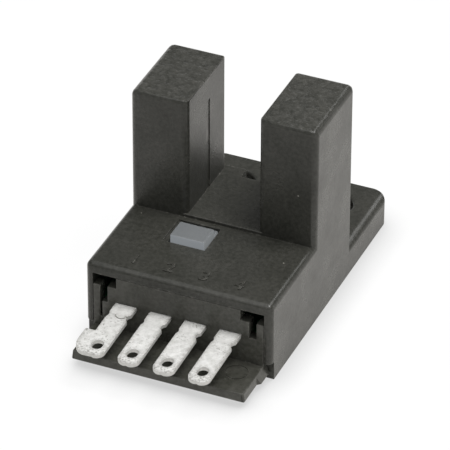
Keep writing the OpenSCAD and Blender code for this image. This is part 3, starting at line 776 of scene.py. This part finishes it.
# Painted glow: the resin's sides emit light, and its front more, by the way they face, in place of light
# scattered through the resin.
resin_face = add_node(resin_tree, "ShaderNodeNewGeometry").outputs["Normal"]
resin_way = add_node(resin_tree, "ShaderNodeSeparateXYZ", i0=resin_face)
painted_side_glow = remap(resin_tree, resin_way.outputs["Z"], 0.3, 0.9, 1.0, 0.0)
painted_front_glow = remap(resin_tree, resin_way.outputs["Y"], -0.9, -0.3, 1.0, 0.0)
painted_resin_glow = blend(resin_tree, painted_front_glow, (0.120, 0.127, 0.131, 1), (0.165, 0.178, 0.190, 1))
resin_tree.links.new(blend(resin_tree, painted_side_glow, (0, 0, 0, 1), painted_resin_glow),
                     resin_shader.inputs["Emission Color"])
resin_shader.inputs["Emission Strength"].default_value = 1.0
resin_tree.links.new(remap(resin_tree, resin_marks["Cloud"], 0.3, 0.7, 0.45, 0.32),
                     resin_shader.inputs["Roughness"])
resin_bump = add_node(resin_tree, "ShaderNodeBump", Height=resin_marks["Grain"], Distance=6e-6)
resin_tree.links.new(resin_bump.outputs[0], resin_shader.inputs["Normal"])
pipe.data.materials.append(grey_resin)
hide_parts("indicator_lens")
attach(pipe, "root")


# Terminal numbers: raised figures on the deck behind the front lip, one above each terminal,
# moulded with the case.
figure_size, figure_rise, figure_rim = 1.47, 0.05, 0.015
figure_y = front_y + 1.55
for number, x in enumerate(terminal_places, start=1):
    text = bpy.data.curves.new(f"figure_{number}", "FONT")
    text.body = str(number)
    text.align_x = "CENTER"
    text.align_y = "CENTER"
    text.size = figure_size * MM
    text.extrude = figure_rise * MM
    text.bevel_depth = figure_rim * MM
    figure = bpy.data.objects.new(f"terminal_figure_{number}", text)
    figure.location = Vector((x, figure_y, deck_h)) * MM
    bpy.context.scene.collection.objects.link(figure)
    figure.data.materials.append(case_plastic)
    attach(figure, "root")


# Circuit board and what is soldered to it: lacquered laminate, two resin packages on tinned
# leads behind the slits, and the small parts that drive the lamp and switch the output.
def plain_finish(name, deep, pale, rough, relief_um, grains, metallic=0.0):
    """Finish with a cloudy tone and a fine relief for the parts inside."""
    material, tree, shader = new_material(name)
    marks = use_group(tree, skin, Grains_per_mm=grains, Clouds_per_mm=1.0)
    tree.links.new(blend(tree, marks["Cloud"], deep, pale), shader.inputs["Base Color"])
    tree.links.new(remap(tree, marks["Cloud"], 0.3, 0.7, rough + 0.06, rough - 0.06),
                   shader.inputs["Roughness"])
    shader.inputs["Metallic"].default_value = metallic
    relief = add_node(tree, "ShaderNodeBump", Height=marks["Grain"], Distance=relief_um * 1e-6)
    tree.links.new(relief.outputs[0], shader.inputs["Normal"])
    return material


laminate = plain_finish("board laminate", (0.012, 0.075, 0.034, 1), (0.022, 0.12, 0.052, 1), 0.3, 10, 5.0)
smoked = plain_finish("smoked resin", (0.026, 0.024, 0.021, 1), (0.046, 0.042, 0.037, 1), 0.34, 6, 6.0)
chip_black = plain_finish("chip moulding", (0.012, 0.012, 0.013, 1), (0.02, 0.02, 0.021, 1), 0.5, 8, 12.0)
ceramic = plain_finish("fired ceramic", (0.34, 0.25, 0.16, 1), (0.46, 0.36, 0.24, 1), 0.6, 6, 10.0)
white_resin = plain_finish("white resin", (0.74, 0.70, 0.60, 1), (0.86, 0.83, 0.74, 1), 0.4, 4, 6.0)
solder = plain_finish("bright solder", (0.55, 0.56, 0.57, 1), (0.68, 0.69, 0.70, 1), 0.25, 12, 3.0,
                      metallic=1.0)
lead_tin = tinned_metal("tinned wire", (0.78, 0.78, 0.76, 1), (0.64, 0.64, 0.62, 1), (0.70, 0.70, 0.67, 1),
                        0.30, 0.42)
finishes = {
    "circuit_board": laminate, "emitter": smoked, "receiver": smoked, "emitter_leads": lead_tin,
    "receiver_leads": lead_tin, "indicator_lamp": white_resin, "output_transistor": chip_black,
    "protection_diode": chip_black, "chip_resistors": ceramic, "bypass_capacitor": ceramic,
    "solder_joints": solder,
}
for node, finish in finishes.items():
    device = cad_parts[node]
    device.data.materials.clear()
    device.data.materials.append(finish)


# Studio: a white sweep with a painted soft shadow round the part, and a surround that mirrors bright
# low down and overhead and dark between. The key lamp hangs above on the right, with a weak lamp in
# front and a small one behind. The camera stands at the photograph's angle.
floor_mesh = bmesh.new()
bmesh.ops.create_grid(floor_mesh, x_segments=1, y_segments=1, size=2000)
floor = piece_from(floor_mesh, "studio_floor")
floor.data.transform(Matrix.Scale(MM, 4))
floor_paint, floor_tree, floor_shader = new_material("white sweep")
floor_shader.inputs["Roughness"].default_value = 0.9
floor_shader.inputs["Specular IOR Level"].default_value = 0.0
floor_light = add_node(floor_tree, "ShaderNodeLightPath")
floor_mirrored = floor_light.outputs["Is Glossy Ray"]
floor_seen = floor_light.outputs["Is Camera Ray"]
# Painted shadow: what the camera and reflections see of the floor is its glow, darkened by ambient
# occlusion round the part with a leaning normal, and less to the left of the part.
shadow_reach = 2.5 * MM
shadow_lean = add_node(floor_tree, "ShaderNodeCombineXYZ", X=-0.05, Y=0.25, Z=0.95).outputs[0]
floor_open = add_node(floor_tree, "ShaderNodeAmbientOcclusion", {"samples": 16}, Distance=shadow_reach,
                      Normal=shadow_lean)
floor_across = add_node(floor_tree, "ShaderNodeSeparateXYZ", i0=place_in_mm(floor_tree)).outputs["X"]
floor_deepest = remap(floor_tree, floor_across, -8.5, -6.0, 1.0, 0.63)
painted_floor_shadow = remap(floor_tree, floor_open.outputs["AO"], 0.35, 0.97, floor_deepest, 1.0)
floor_bare = blend(floor_tree, floor_mirrored, (0.86, 0.86, 0.86, 1), (0.15, 0.15, 0.15, 1))
floor_tree.links.new(blend(floor_tree, floor_seen, floor_bare, (0.05, 0.05, 0.05, 1)),
                     floor_shader.inputs["Base Color"])
glow = remap(floor_tree, floor_seen, 0.0, 1.0, remap(floor_tree, floor_mirrored, 0.0, 1.0, 0.0, 0.89), 0.95)
painted_shadow_glow = add_node(floor_tree, "ShaderNodeMath", {"operation": "MULTIPLY"}, i0=glow, i1=painted_floor_shadow)
floor_tree.links.new(blend(floor_tree, floor_mirrored, (1, 1, 1, 1), (1.03, 1.0, 0.955, 1)),
                     floor_shader.inputs["Emission Color"])
floor_tree.links.new(painted_shadow_glow.outputs[0], floor_shader.inputs["Emission Strength"])
floor.data.materials.append(floor_paint)
floor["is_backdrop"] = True

world = bpy.data.worlds.new("white surround")
bpy.context.scene.world = world
world.use_nodes = True
surround = world.node_tree.nodes["Background"]
surround.inputs["Color"].default_value = (1, 1, 1, 1)
world_light = add_node(world.node_tree, "ShaderNodeLightPath")
world_way = add_node(world.node_tree, "ShaderNodeTexCoord").outputs["Generated"]
world_up = add_node(world.node_tree, "ShaderNodeSeparateXYZ", i0=world_way).outputs["Z"]
overhead_level = remap(world.node_tree, world_up, 0.70, 0.88, 0.12, 1.6)
mirrored_level = remap(world.node_tree, world_up, 0.10, 0.32, 1.0, overhead_level)
lit_level = remap(world.node_tree, world_light.outputs["Is Glossy Ray"], 0.0, 1.0, 0.38, mirrored_level)
world_seen = world_light.outputs["Is Camera Ray"]
world.node_tree.links.new(remap(world.node_tree, world_seen, 0.0, 1.0, lit_level, 1.0),
                          surround.inputs["Strength"])


def soft_lamp(name, place, size, power, tint):
    """Square lamp that faces the part's middle."""
    light = bpy.data.lights.new(name, "AREA")
    light.size = size
    light.energy = power
    light.color = tint
    lamp = bpy.data.objects.new(name, light)
    lamp.location = place
    lamp.rotation_mode = "QUATERNION"
    lamp.rotation_quaternion = (Vector(place) - Vector((0, -0.008, 0.005))).to_track_quat("Z", "Y")
    bpy.context.scene.collection.objects.link(lamp)


soft_lamp("key lamp", (0.11, 0.0, 0.36), 0.14, 1.15, (1.0, 0.99, 0.98))
soft_lamp("front lamp", (-0.10, -0.24, 0.32), 0.24, 0.16, (1.0, 1.0, 0.99))
soft_lamp("rear lamp", (0.05, 0.24, 0.215), 0.12, 0.17, (1.0, 1.0, 1.0))

camera_place = Vector((0.096234, -0.236089, 0.174058))
camera_azimuth, camera_elevation, camera_roll = (math.radians(a) for a in (23.118, 34.444, -0.2147))
focal_px, frame_px, sensor_mm = 4373.8, 450, 36.0
back = Vector((math.sin(camera_azimuth) * math.cos(camera_elevation),
               -math.cos(camera_azimuth) * math.cos(camera_elevation), math.sin(camera_elevation)))
right = Vector((math.cos(camera_azimuth), math.sin(camera_azimuth), 0))
up = back.cross(right)
rolled_right = right * math.cos(camera_roll) - up * math.sin(camera_roll)
rolled_up = right * math.sin(camera_roll) + up * math.cos(camera_roll)
lens = bpy.data.cameras.new("camera")
lens.sensor_width = sensor_mm
lens.lens = focal_px / frame_px * sensor_mm
lens.clip_start, lens.clip_end = 0.01, 10
camera = bpy.data.objects.new("camera", lens)
camera_turn = Matrix((rolled_right, rolled_up, back)).transposed().to_4x4()
camera.matrix_world = Matrix.Translation(camera_place) @ camera_turn
bpy.context.scene.collection.objects.link(camera)
bpy.context.scene.camera = camera
bpy.context.scene.view_settings.view_transform = "Standard"

boxes = {"cad": cad_box, "visual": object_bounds()}
{name: [list(corner) for corner in box] for name, box in boxes.items()}
